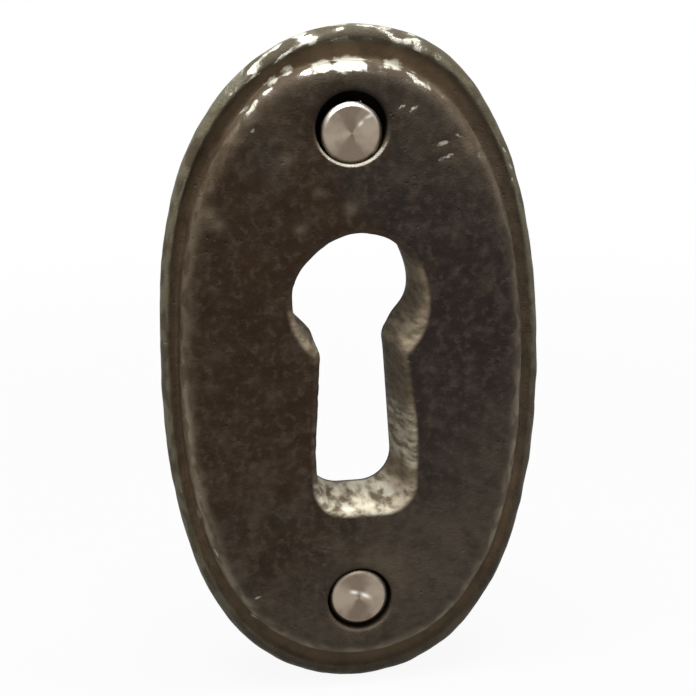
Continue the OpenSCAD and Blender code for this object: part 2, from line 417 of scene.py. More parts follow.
@dataclass
class CastPlate:
    """The oval plate: moulded edge, raised panel, keyhole and fixing holes, as one casting."""

    name: str = "cast_plate"
    outline: Oval = Oval(15.3, 27.0, 12.5)
    bead_inner: Oval = Oval(14.65, 25.8, 11.98)
    panel: Oval = Oval(14.05, 24.45, 11.5)
    thickness: float = 5.5
    wall_inset: float = 0.4
    back_chamfer: float = 0.3
    bead_height: float = 4.1
    bead_round: float = 1.1
    bead_chamfer: float = 0.15
    groove_depth: float = 0.7
    groove_lean: float = 0.25
    shoulder_round: float = 1.4
    head_radius: float = 5.1
    head_rise: float = 6.1
    neck_half: float = 3.05
    foot_half: float = 3.7
    foot_drop: float = 10.8
    corner_radius: float = 1.8
    back_corner_radius: float = 2.65
    neck_radius: float = 0.4
    lip_round: float = 0.75
    wall_draft: float = 0.15
    pin_height: float = 18.9
    bore_radius: float = 2.4
    mouth_depth: float = 2.2
    mouth_soft: float = 0.23
    upper_mouth_radius: float = 2.79
    upper_mouth_shift: tuple[float, float] = (-0.06, 0.42)
    lower_mouth_radius: float = 2.64
    lower_mouth_shift: tuple[float, float] = (-0.04, -0.42)
    lower_bore_lean: tuple[float, float] = (-0.10, -0.30)
    upper_bore_lean: tuple[float, float] = (-0.06, 0.0)
    mouth_fade: float = 0.9
    mouth_step: float = 0.04
    lit_share: float = 0.25
    lit_depth: float = 0.9
    # How bright the lower edges of the two mouths are painted: painted highlights where the light from above
    # catches them.
    upper_mouth_highlight: float = 0.80
    lower_mouth_highlight: float = 0.18
    # How much painted shade lies on the field above the upper and the lower mouth, and how far round it
    # reaches.
    upper_shade: float = 0.9
    lower_shade: float = 0.4
    shade_share: float = 0.35
    keyhole_slant: tuple[float, float] = (0.35, -0.30)
    foot_slant: float = -0.55
    swerves: tuple[Swerve, ...] = KEYHOLE_SWERVES
    groove_rise: float = 0.22
    section_easing: int = 6
    right_drift: float = 0.36
    right_way: float = 12.0
    left_drift: float = 0.18
    left_way: float = 155.0
    corner_drift: float = 0.36
    corner_way: float = 124.0
    corner_width: float = 13.0
    # Where along the shoulder's round its band peaks, facing the light from above, and how wide it is: a
    # painted highlight, partly wear.
    highlight_angle: float = 38.0
    highlight_spread: float = 24.0
    waviness: Ripple = Ripple(0.035, 6.0)
    grain: Ripple = Ripple(0.012, 1.1, 2, 5.0)
    battering: Ripple = Ripple(0.06, 2.2, 3, 9.0)
    groove_lumps: Ripple = Ripple(0.05, 1.6, 2, 13.0)
    wall_lumps: Ripple = Ripple(0.09, 2.2, 3, 21.0)
    wall_grain: Ripple = Ripple(0.045, 0.8, 2, 33.0)
    streaks: Ripple = Ripple(1.0, 1.0, 2, 3.0)
    sink: float = 0.01
    edge_swell: float = 0.02
    rim_gain: float = 4.0
    rim_start: float = 2.9
    top_from: float = 17.0
    top_reach: float = 8.0
    top_lean: float = 0.42
    swell_up: float = 12.5
    swell_reach: float = 6.5
    swell_lean: float = 0.22
    streak_length: float = 1.5
    streak_width: float = 0.55
    columns: int = 480
    rows: int = 66
    row_gap: float = 0.1
    bead_rows: int = 13
    shoulder_rows: int = 11
    wall_rows: int = 18
    lip_rows: int = 10
    head_steps: int = 52
    fillet_steps: int = 12
    side_steps: int = 34
    corner_steps: int = 14
    foot_steps: int = 10
    mouth_steps: int = 112
    field_spacing: float = 0.26
    back_spacing: float = 1.1
    marks: tuple[Mark, ...] = field(default_factory=tuple)

    def edge_columns(self, shell: Shell) -> tuple[np.ndarray, np.ndarray]:
        """Makes the moulded edge as rows from the back face up to the flat field.

        Args:
            shell: Where the rows go.

        Returns:
            The row on the back face and the row on the field.
        """
        turns = self.outline.even_directions(self.columns)
        ways = np.stack([np.cos(turns), np.sin(turns)], 1)
        gap = ((self.outline.edge(turns) - self.bead_inner.edge(turns)) * ways).sum(1)
        axis = self.bead_height - self.bead_round
        under = -math.acos(1 - self.wall_inset / self.bead_round)
        crest = self.crest_angle(gap, axis)
        floor = self.bead_height - self.groove_depth
        drift = self.panel_drift(turns)
        knots: list[tuple[np.ndarray, np.ndarray | float, dict[Zone, float]]] = [
            (self.outline.edge(turns, self.wall_inset + self.back_chamfer), 0.0, {}),
            (self.outline.edge(turns, self.wall_inset), self.back_chamfer, {}),
        ]
        for share in np.linspace(0, 1, self.bead_rows):
            angle = under + (crest - under) * share
            inset = self.bead_round * (1 - np.cos(angle))
            knots.append((self.outline.edge(turns, inset), axis + self.bead_round * np.sin(angle),
                          {Zone.BEAD: min(1.0, 2 * share)}))
        knots += [
            (self.bead_inner.edge(turns), self.bead_height - self.bead_chamfer,
             {Zone.BEAD: 0.7, Zone.GROOVE: 0.2}),
            (self.bead_inner.edge(turns, self.groove_lean), floor + self.groove_rise, {Zone.GROOVE: 1.0}),
            (self.panel.edge(turns, drift), floor, {Zone.GROOVE: 1.0}),
            (self.panel.edge(turns, drift), self.thickness - self.shoulder_round, {Zone.GROOVE: 0.5}),
        ]
        for angle in np.linspace(0, math.pi / 2, self.shoulder_rows)[1:]:
            inset = self.shoulder_round * (1 - math.cos(angle))
            height = self.thickness + self.shoulder_round * (math.sin(angle) - 1)
            # The shoulder mask peaks where the round faces the light from above: a band of painted highlight,
            # partly wear.
            worn = math.exp(-((math.degrees(angle) - self.highlight_angle) / self.highlight_spread) ** 2)
            knots.append((self.panel.edge(turns, inset + drift), height, {Zone.SHOULDER: worn}))
        return self.resample(shell, knots)

    def panel_drift(self, turns: np.ndarray) -> np.ndarray:
        """Gives how far the raised panel's edge lies inside its drawn line, as on a hand-cut pattern.

        Args:
            turns: Directions of the edge's normals, in radians.

        Returns:
            The move at each column, negative outwards.
        """
        right = np.clip(np.cos(turns - math.radians(self.right_way)), 0, 1) ** 2
        left = np.clip(np.cos(turns - math.radians(self.left_way)), 0, 1) ** 4
        corner = np.exp(-((turns - math.radians(self.corner_way)) / math.radians(self.corner_width)) ** 2)
        return self.right_drift * right + self.left_drift * left - self.corner_drift * corner

    def crest_angle(self, gap: np.ndarray, axis: float) -> np.ndarray:
        """Finds where the bead's round meets the chamfer over the groove.

        Args:
            gap: Width of the bead at each column.
            axis: Height of the round's centre.

        Returns:
            The angle along the round at each column.
        """
        low, high = np.zeros_like(gap), np.full_like(gap, math.pi / 2)
        for _ in range(40):
            angle = (low + high) / 2
            inset = self.bead_round * (1 - np.cos(angle))
            height = axis + self.bead_round * np.sin(angle)
            below = height < self.bead_height - self.bead_chamfer + gap - inset
            low, high = np.where(below, angle, low), np.where(below, high, angle)
        return (low + high) / 2

    def resample(self, shell: Shell, knots: list) -> tuple[np.ndarray, np.ndarray]:
        """Spaces the section's points evenly and eases its corners.

        Args:
            shell: Where the rows go.
            knots: Points of the section at every column, with their heights and masks.

        Returns:
            The first row and the last row.
        """
        stack = np.stack([
            np.column_stack([
                edge, np.broadcast_to(height, self.columns),
                *[np.full(self.columns, masks.get(zone, 0.0)) for zone in Zone]
            ])
            for edge, height, masks in knots
        ])
        spread = np.zeros((self.rows, self.columns, stack.shape[2]))
        for column in range(self.columns):
            line = stack[:, column]
            length = np.concatenate([[0], np.cumsum(np.linalg.norm(np.diff(line[:, :3], axis=0), axis=1))])
            at = np.linspace(0, length[-1], self.rows)
            for value in range(stack.shape[2]):
                spread[:, column, value] = np.interp(at, length, line[:, value])
        for _ in range(self.section_easing):
            spread[1:-1] = (spread[:-2] + 2 * spread[1:-1] + spread[2:]) / 4
        rings = []
        run = np.arange(self.columns) / self.columns * FULL_TURN
        girth = self.outline.half_width / 2 + self.outline.half_height / 2
        for number, row in enumerate(spread):
            masks = {zone: row[:, 3 + k] for k, zone in enumerate(Zone)}
            run_places = np.stack([
                girth / self.streak_length * np.cos(run), girth / self.streak_length * np.sin(run),
                np.full(self.columns, number * self.row_gap / self.streak_width)
            ], 1)
            masks[Zone.STREAK] = 0.5 + self.streaks.at(run_places)
            rings.append(shell.add(row[:, :3], masks))
            if len(rings) > 1:
                shell.bridge(rings[-2], rings[-1])
        return rings[0], rings[-1]

    def keyhole_outline(self, corner_radius: float) -> tuple[np.ndarray, np.ndarray]:
        """Walks round the keyhole at the back face.

        Args:
            corner_radius: Radius of the two corners of its foot.

        Returns:
            Points across and up, and at each the way into the metal.
        """
        set_back = self.wall_draft + self.lip_round
        fillet = self.neck_radius + set_back
        neck_up = self.head_rise - self.head_radius
        flare = math.atan2(self.foot_half - self.neck_half, neck_up + self.foot_drop)
        way = np.array([math.sin(flare), -math.cos(flare)])
        out = np.array([math.cos(flare), math.sin(flare)])
        head, neck = np.array([0.0, self.head_rise]), np.array([self.neck_half, neck_up])
        start = neck + fillet * out - head
        slide = math.sqrt((start @ way) ** 2 - start @ start + (self.head_radius + fillet) ** 2) - start @ way
        round_centre = head + start + slide * way
        first = math.atan2(round_centre[1] - head[1], round_centre[0])
        corner_up = corner_radius - self.foot_drop
        corner = np.array([
            neck[0] + (neck[1] - corner_up) * math.tan(flare) - corner_radius / math.cos(flare),
            corner_up
        ])
        spots, ways = [], []

        def walk(centre: np.ndarray, radius: float, begin: float, end: float, steps: int) -> None:
            """Adds an arc.

            Args:
                centre: Its centre.
                radius: Its radius, negative where the centre lies in the metal.
                begin: Angle that it starts from.
                end: Angle that it runs to.
                steps: How many points it has.
            """
            for angle in np.linspace(begin, end, steps, endpoint=False):
                look = np.array([math.cos(angle), math.sin(angle)])
                spots.append(centre + radius * look)
                ways.append(look)

        walk(head, self.head_radius, math.pi / 2, first, self.head_steps)
        walk(round_centre, -fillet, first, flare, self.fillet_steps)
        side_from, side_to = round_centre - fillet * out, corner + corner_radius * out
        for share in np.linspace(0, 1, self.side_steps, endpoint=False):
            spots.append(side_from + share * (side_to - side_from))
            ways.append(out)
        walk(corner, corner_radius, flare, -math.pi / 2, self.corner_steps)
        for share in np.linspace(0, 1, self.foot_steps, endpoint=False):
            spots.append(np.array([corner[0] * (1 - share), -self.foot_drop]))
            ways.append(np.array([0.0, -1.0]))
        spots.append(np.array([0.0, -self.foot_drop]))
        ways.append(np.array([0.0, -1.0]))
        half, look = np.array(spots), np.array(ways)
        mirror = np.array([-1.0, 1.0])
        return (np.concatenate([half, half[1:-1][::-1] * mirror]),
                np.concatenate([look, look[1:-1][::-1] * mirror]))

    def keyhole_rows(self, shell: Shell) -> tuple[np.ndarray, np.ndarray]:
        """Makes the keyhole's wall and its worn lip.

        Args:
            shell: Where the rows go.

        Returns:
            The row on the back face and the row on the field.
        """
        spots, ways = self.keyhole_outline(self.corner_radius)
        rounder = self.keyhole_outline(self.back_corner_radius)[0] - spots
        lip_foot = self.thickness - self.lip_round
        profile = [
            (self.wall_draft * share, lip_foot * share, {Zone.WALL: min(1.0, 4 * share)})
            for share in np.linspace(0, 1, self.wall_rows)
        ]
        for angle in np.linspace(0, math.pi / 2, self.lip_rows)[1:]:
            profile.append((
                self.wall_draft + self.lip_round * (1 - math.cos(angle)),
                lip_foot + self.lip_round * math.sin(angle),
                {Zone.WALL: math.cos(angle / 2) ** 2 * 1.2 - 0.6, Zone.LIP: math.sin(angle) ** 0.7}
            ))
        rings = []
        low = np.clip((self.head_rise - spots[:, 1]) / (self.head_rise + self.foot_drop), 0, 1)
        slant = np.stack([np.full(len(spots), self.keyhole_slant[0]),
                          self.keyhole_slant[1] + (self.foot_slant - self.keyhole_slant[1]) * low], 1)
        for offset, height, masks in profile:
            share = height / self.thickness
            swerve = sum(place.shift(spots, share) for place in self.swerves)
            edge = spots + rounder * (1 - share) + (offset + swerve)[:, None] * ways + slant * share
            rings.append(shell.add(np.column_stack([edge, np.full(len(edge), height)]), masks))
            if len(rings) > 1:
                shell.bridge(rings[-2], rings[-1])
        return rings[0], rings[-1]

    def mouth_rows(self, shell: Shell, up: float, radius: float, shift: tuple[float, float],
                   lean: tuple[float, float], rim: float) -> tuple[np.ndarray, np.ndarray]:
        """Makes a fixing hole: its bore, and its wider mouth that is cut off centre.

        Args:
            shell: Where the rows go.
            up: Height of the pin over the plate's middle.
            radius: Radius of the mouth.
            shift: How far the mouth lies to the right of the pin and above it.
            lean: How far the bore leans to the right and up, at the front.
            rim: How bright its lower edge is painted, as a highlight where the light from above catches it.

        Returns:
            The row on the back face and the row on the field.
        """
        floor = self.thickness - self.mouth_depth
        soft = self.mouth_soft
        profile = [
            (self.bore_radius, 0.0, 0.0), (self.bore_radius, floor, 0.0),
            (radius - self.mouth_step, floor, 1.0), (radius, floor + 2 * self.mouth_step, 1.0),
            (radius, (floor + self.thickness) / 2, 1.0),
        ]
        profile += [(radius + out * soft, self.thickness - down * soft, 1.0) for out, down in MOUTH_LIP_SHARES]
        turns = np.arange(self.mouth_steps) / self.mouth_steps * FULL_TURN
        rings = []
        for ring_radius, height, shifted in profile:
            move = [
                far * shifted + near * (1 - shifted) * height / self.thickness
                for far, near in zip(shift, lean)
            ]
            ring = np.column_stack([
                move[0] + ring_radius * np.cos(turns), up + move[1] + ring_radius * np.sin(turns),
                np.full(len(turns), height)
            ])
            # Painted shade deepens into the mouth, and starts deeper on its lower side.
            depth = self.thickness - height
            low_side = np.clip(self.lit_share - np.sin(turns), 0, 1)
            painted_mouth_shade = np.clip((depth - self.lit_depth * low_side) / (2.5 * soft), 0, 1)
            # The lower edge, where the light from above catches it, is painted bright as bare metal and a pale
            # skin: a painted highlight.
            lit = low_side * np.clip((ring_radius < radius + soft) * (1.3 - depth / self.lit_depth), 0, 1)
            pale = min(1.0, 1.5 * rim) * lit
            rings.append(shell.add(ring, {Zone.MOUTH_SHADE: painted_mouth_shade, Zone.BARE: rim * lit, Zone.PALE: pale}))
            if len(rings) > 1:
                shell.bridge(rings[-2], rings[-1])
        return rings[0], rings[-1]

    def roughen(self, mesh: bpy.types.Mesh) -> None:
        """Gives the casting its waviness, battered edges, rough keyhole and marks, inside the solid's box.

        Args:
            mesh: The plate's mesh.
        """
        count = len(mesh.vertices)
        places, normals = np.zeros(count * 3), np.zeros(count * 3)
        mesh.vertices.foreach_get("co", places)
        mesh.vertex_normals.foreach_get("vector", normals)
        places, normals = places.reshape(-1, 3) / MM, normals.reshape(-1, 3)
        masks = {}
        for zone in Zone:
            values = np.zeros(count)
            mesh.attributes[zone.value].data.foreach_get("value", values)
            masks[zone] = values
        front = np.clip(-places[:, 1] / 1.5, 0, 1)
        rough = self.waviness.at(places) - self.sink
        rough += self.grain.at(places)
        edge = masks[Zone.BEAD] + 0.8 * masks[Zone.SHOULDER]
        rough += edge * (self.battering.at(places) + self.edge_swell)
        rough += masks[Zone.GROOVE] * self.groove_lumps.at(places)
        inside = np.clip(masks[Zone.WALL] + 0.5 * masks[Zone.LIP], 0, 1)
        rough += inside * (self.wall_lumps.at(places) + self.wall_grain.at(places))
        rough *= front * (1 - 0.8 * np.clip(masks[Zone.MOUTH_SHADE], 0, 1))
        # Bare and pale spots from the marks, some of them painted highlights.
        bare, pale = masks[Zone.BARE].copy(), masks[Zone.PALE].copy()
        for mark in self.marks:
            close = mark.closeness(places) * (places[:, 1] < -self.bead_height / 2)
            rough -= mark.depth * close
            bare = np.maximum(bare, mark.bare * close)
            pale = np.maximum(pale, mark.pale * close)
        # Painted shade deep in the mouths and on the field just above them.
        painted_mouth_shade = np.maximum(masks[Zone.MOUTH_SHADE], self.mouth_shade(places))
        for zone, values in ((Zone.BARE, bare), (Zone.PALE, pale), (Zone.MOUTH_SHADE, painted_mouth_shade)):
            mesh.attributes[zone.value].data.foreach_set("value", values.astype(np.float32))
        places += normals * rough[:, None]
        places[:, 0] += self.sideways(places)
        half_width, half_height = self.outline.half_width, self.outline.half_height
        low = [-half_width, -self.thickness, -half_height]
        places = np.clip(places, low, [half_width, 0.0, half_height])
        mesh.vertices.foreach_set("co", (places * MM).astype(np.float32).ravel())
        mesh.update()

    def mouth_shade(self, places: np.ndarray) -> np.ndarray:
        """Gives how much painted shade lies on the field just above each mouth, as a shadow under its upper
        edge.

        Args:
            places: The mesh's points in millimetres.

        Returns:
            The mask at each point.
        """
        shade = np.zeros(len(places))
        for up, radius, shift, most in (
            (self.pin_height, self.upper_mouth_radius, self.upper_mouth_shift, self.upper_shade),
            (-self.pin_height, self.lower_mouth_radius, self.lower_mouth_shift, self.lower_shade),
        ):
            aside, over = places[:, 0] - shift[0], places[:, 2] - up - shift[1]
            reach = np.maximum(np.hypot(aside, over), self.mouth_soft)
            near = np.clip(1 - (reach - radius) / self.mouth_fade, 0, 1) * (reach > radius)
            shade = np.maximum(shade, most * near * np.clip(over / reach + self.shade_share, 0, 1))
        return shade * (places[:, 1] < self.bead_height / 2 - self.thickness)

    def sideways(self, places: np.ndarray) -> np.ndarray:
        """Bends the moulded edge a little out of true, as the old pattern was.

        Args:
            places: The mesh's points in millimetres.

        Returns:
            How far each point moves to the right.
        """
        across, up = places[:, 0], places[:, 2]
        outward = np.hypot(across / self.outline.half_width, up / self.outline.half_height)
        rim = np.clip(self.rim_gain * outward - self.rim_start, 0, 1)
        top = np.clip((up - self.top_from) / self.top_reach, 0, 1) ** 2
        swell = np.exp(-((up - self.swell_up) / self.swell_reach) ** 2) * (across < 0)
        return rim * (self.top_lean * top - self.swell_lean * swell)

    def build(self) -> bpy.types.Object:
        """Makes the plate, which stands for its solid.

        Returns:
            The plate's object, riding on its body.
        """
        shell = Shell()
        back_edge, field_edge = self.edge_columns(shell)
        back_hole, field_hole = self.keyhole_rows(shell)
        upper_back, upper_front = self.mouth_rows(
            shell, self.pin_height, self.upper_mouth_radius, self.upper_mouth_shift, (0.0, 0.0),
            self.upper_mouth_highlight)
        lower_back, lower_front = self.mouth_rows(
            shell, -self.pin_height, self.lower_mouth_radius, self.lower_mouth_shift, self.lower_bore_lean,
            self.lower_mouth_highlight)
        shell.fill([field_edge, field_hole, upper_front, lower_front], self.thickness, self.field_spacing)
        shell.fill([back_edge, back_hole, upper_back, lower_back], 0.0, self.back_spacing)
        mesh = shell.mesh(self.name)
        self.roughen(mesh)
        plate = bpy.data.objects.new(self.name, mesh)
        bpy.context.scene.collection.objects.link(plate)
        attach(plate, Body.ROOT.value)
        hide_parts("escutcheon_plate")
        return plate


@dataclass
class TurnedPin:
    """A pin turned from bar: flat face with tool rings, a plain body, and a thinner shank behind.

    Args:
        name: Name of the piece.
        node: The solid that it stands for.
        up: Height of its axis over the plate's middle.
        lean: How far its face lies to the right of its axis and above it.
        scratches_and_glints: Bright marks on its face: real scores, and painted glints.
        chamfer_highlight: How bright the top of its chamfer is painted, a painted highlight where the light
            from above catches it, from 0 to 1.
    """

    name: str
    node: str
    up: float
    lean: tuple[float, float] = (0.0, 0.0)
    scratches_and_glints: tuple[Mark, ...] = ()
    chamfer_highlight: float = 0.0
    radius: float = 2.38
    shank_radius: float = 2.25
    face_height: float = 5.4
    tail_height: float = -9.0
    face_chamfer: float = 0.38
    tail_chamfer: float = 0.5
    face_dish: float = 0.02
    neck: float = 0.02
    face_start: float = 0.03
    face_rows: int = 30
    chamfer_rows: int = 6
    chamfer_slope: float = 0.75
    chamfer_curve: float = 1.3
    sharp_angle: float = 28.0
    steps: int = 128

    def build(self) -> bpy.types.Object:
        """Makes the pin.

        Returns:
            The pin's object, riding on its body.
        """
        soft, top = self.face_chamfer, self.face_height
        profile = [(share * (self.radius - soft), top - self.face_dish * (1 - share))
                   for share in np.linspace(self.face_start, 1, self.face_rows)]
        profile += [
            (self.radius - soft * (1 - share), top - self.chamfer_slope * soft * share ** self.chamfer_curve)
            for share in np.linspace(0, 1, self.chamfer_rows)[1:]
        ]
        profile += [(self.radius, top / 2), (self.radius, self.neck), (self.radius - self.neck, 0.0),
                    (self.shank_radius, 0.0), (self.shank_radius, self.tail_height + self.tail_chamfer),
                    (self.shank_radius - self.tail_chamfer, self.tail_height),
                    ((self.shank_radius - self.tail_chamfer) / 2, self.tail_height)]
        turns = np.arange(self.steps) / self.steps * FULL_TURN
        shell, rings = Shell(), []
        for radius, height in profile:
            share = max(0.0, height / top)
            rings.append(shell.add(np.column_stack([
                self.lean[0] * share + radius * np.cos(turns),
                self.up + self.lean[1] * share + radius * np.sin(turns), np.full(len(turns), height)
            ]), {}))
            if len(rings) > 1:
                shell.bridge(rings[-2], rings[-1])
        shell.cap(rings[0])
        shell.cap(rings[-1])
        mesh = shell.mesh(self.name)
        places = np.zeros(len(mesh.vertices) * 3)
        mesh.vertices.foreach_get("co", places)
        places = places.reshape(-1, 3) / MM
        bare = np.zeros(len(places))
        # Bright marks on the face: scores on the upper pin, painted glints on the lower one.
        for bright_mark in self.scratches_and_glints:
            close = bright_mark.closeness(places) * (places[:, 1] < -top + soft)
            bare = np.maximum(bare, bright_mark.bare * close)
        mesh.attributes[Zone.BARE.value].data.foreach_set("value", bare.astype(np.float32))
        mesh.set_sharp_from_angle(angle=math.radians(self.sharp_angle))
        pin = bpy.data.objects.new(self.name, mesh)
        bpy.context.scene.collection.objects.link(pin)
        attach(pin, Body.ROOT.value)
        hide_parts(self.node)
        return pin


class Wires:
    """Places nodes in a node tree and joins their sockets."""

    def __init__(self, tree: bpy.types.NodeTree) -> None:
        """Takes the tree that nodes are placed in."""
        self.tree = tree

    def place(self, kind: str, inputs: dict | None = None, **settings: object) -> bpy.types.Node:
        """Places a node.

        Args:
            kind: Its Blender type.
            inputs: A value or a socket for each named or numbered input.
            settings: Properties of the node.

        Returns:
            The node.
        """
        node = self.tree.nodes.new(kind)
        for key, value in settings.items():
            setattr(node, key, value)
        for key, value in (inputs or {}).items():
            if isinstance(value, bpy.types.NodeSocket):
                self.tree.links.new(value, node.inputs[key])
            else:
                node.inputs[key].default_value = value
        return node

    def group(self, tree: bpy.types.NodeTree, inputs: dict) -> bpy.types.Node:
        """Places a node group with its own values."""
        return self.place("ShaderNodeGroup", inputs, node_tree=tree)

    def maths(self, operation: str, *values: object, clamp: bool = False) -> bpy.types.NodeSocket:
        """Joins numbers by one operation."""
        node = self.place("ShaderNodeMath", dict(enumerate(values)), operation=operation, use_clamp=clamp)
        return node.outputs[0]

    def ramp(self, value: object, low: float, high: float, start: float = 0.0,
             end: float = 1.0) -> bpy.types.NodeSocket:
        """Turns a range of a value smoothly into another.

        Args:
            value: The value or its socket.
            low: Where the range starts.
            high: Where it ends, which may be below its start.
            start: What is given at the start.
            end: What is given at the end.

        Returns:
            The socket of the result.
        """
        node = self.place("ShaderNodeMapRange", {
            "Value": value, "From Min": low, "From Max": high, "To Min": start, "To Max": end
        }, interpolation_type="SMOOTHSTEP")
        return node.outputs["Result"]

    def blend(self, share: object, first: object, second: object) -> bpy.types.NodeSocket:
        """Mixes two colours by a share."""
        node = self.place("ShaderNodeMix", {0: share, 6: first, 7: second}, data_type="RGBA")
        return node.outputs[2]

    def millimetres(self) -> bpy.types.NodeSocket:
        """Gives the place on the object in millimetres."""
        here = self.place("ShaderNodeTexCoord").outputs["Object"]
        scaled = self.place("ShaderNodeVectorMath", {0: here, "Scale": 1 / MM}, operation="SCALE")
        return scaled.outputs["Vector"]

    def cloud(self, place: object, pitch: float, detail: float = 3.0,
              rough: float = 0.55) -> bpy.types.NodeSocket:
        """Reads noise whose lumps are about a pitch wide, in millimetres.

        Args:
            place: Place on the object in millimetres.
            pitch: Width of its lumps.
            detail: How many finer sizes it has.
            rough: How strong these are.

        Returns:
            The socket of the noise.
        """
        node = self.place("ShaderNodeTexNoise", {
            "Vector": place, "Scale": 1 / pitch, "Detail": detail, "Roughness": rough
        })
        return node.outputs["Fac"]

    def mask(self, zone: Zone) -> bpy.types.NodeSocket:
        """Reads one of the plate's masks."""
        return self.place("ShaderNodeAttribute", None, attribute_name=zone.value).outputs["Fac"]


def new_group(name: str, inputs: dict[str, float], outputs: dict[str, str]) -> tuple:
    """Starts a shader node group.

    Args:
        name: Name of the group.
        inputs: Its number inputs with their usual values.
        outputs: Its outputs with their kind, "Float" or "Color".

    Returns:
        The group, its wires, its input node and its output node.
    """
    tree = bpy.data.node_groups.new(name, "ShaderNodeTree")
    for key, value in inputs.items():
        socket = tree.interface.new_socket(name=key, in_out="INPUT", socket_type="NodeSocketFloat")
        socket.default_value = value
    for key, kind in outputs.items():
        tree.interface.new_socket(name=key, in_out="OUTPUT", socket_type=f"NodeSocket{kind}")
    wires = Wires(tree)
    return tree, wires, wires.place("NodeGroupInput"), wires.place("NodeGroupOutput")


def casting_grain() -> bpy.types.NodeTree:
    """Builds the group for a cast or worked skin: fine lumps, pits and a mottle.

    Returns:
        The group.
    """
    tree, wires, given, result = new_group(
        "casting_grain", {"Grain": 1.0, "Pits": 1.0}, {"Height": "Float", "Mottle": "Float"})
    place = wires.millimetres()
    fine = wires.cloud(place, 0.16, 4.0, 0.6)
    lumps = wires.cloud(place, 0.7, 3.0, 0.6)
    cells = wires.place("ShaderNodeTexVoronoi", {"Vector": place, "Scale": 1.3, "Randomness": 1.0})
    pit = wires.ramp(cells.outputs["Distance"], 0.05, 0.22)
    scarce = wires.ramp(wires.cloud(place, 2.2, 2.0), 0.5, 0.62)
    pits = wires.maths("MULTIPLY", wires.maths("MULTIPLY", wires.maths("SUBTRACT", 1.0, pit), scarce),
                       given.outputs["Pits"])
    grain = wires.maths("MULTIPLY", wires.maths("ADD", fine, lumps), given.outputs["Grain"])
    wires.tree.links.new(wires.maths("SUBTRACT", grain, pits), result.inputs["Height"])
    wires.tree.links.new(wires.cloud(place, 1.6, 4.0, 0.6), result.inputs["Mottle"])
    return tree


def worn_metal() -> bpy.types.NodeTree:
    """Builds the group for bare metal where the finish is rubbed off: broken patches inside a mask.

    Returns:
        The group.
    """
    tree, wires, given, result = new_group(
        "worn_metal", {"Mask": 0.0, "Amount": 0.5, "Patch": 1.0}, {"Bare": "Float"})
    place = wires.millimetres()
    scaled = wires.place("ShaderNodeVectorMath", {0: place, "Scale": given.outputs["Patch"]},
                         operation="SCALE")
    patches = wires.cloud(scaled.outputs["Vector"], 0.8, 3.0, 0.6)
    level = wires.maths("MULTIPLY", given.outputs["Mask"], given.outputs["Amount"])
    over = wires.maths("ADD", wires.maths("SUBTRACT", patches, 1.0), level)
    bare = wires.ramp(over, -0.04, 0.24)
    wires.tree.links.new(bare, result.inputs["Bare"])
    return tree


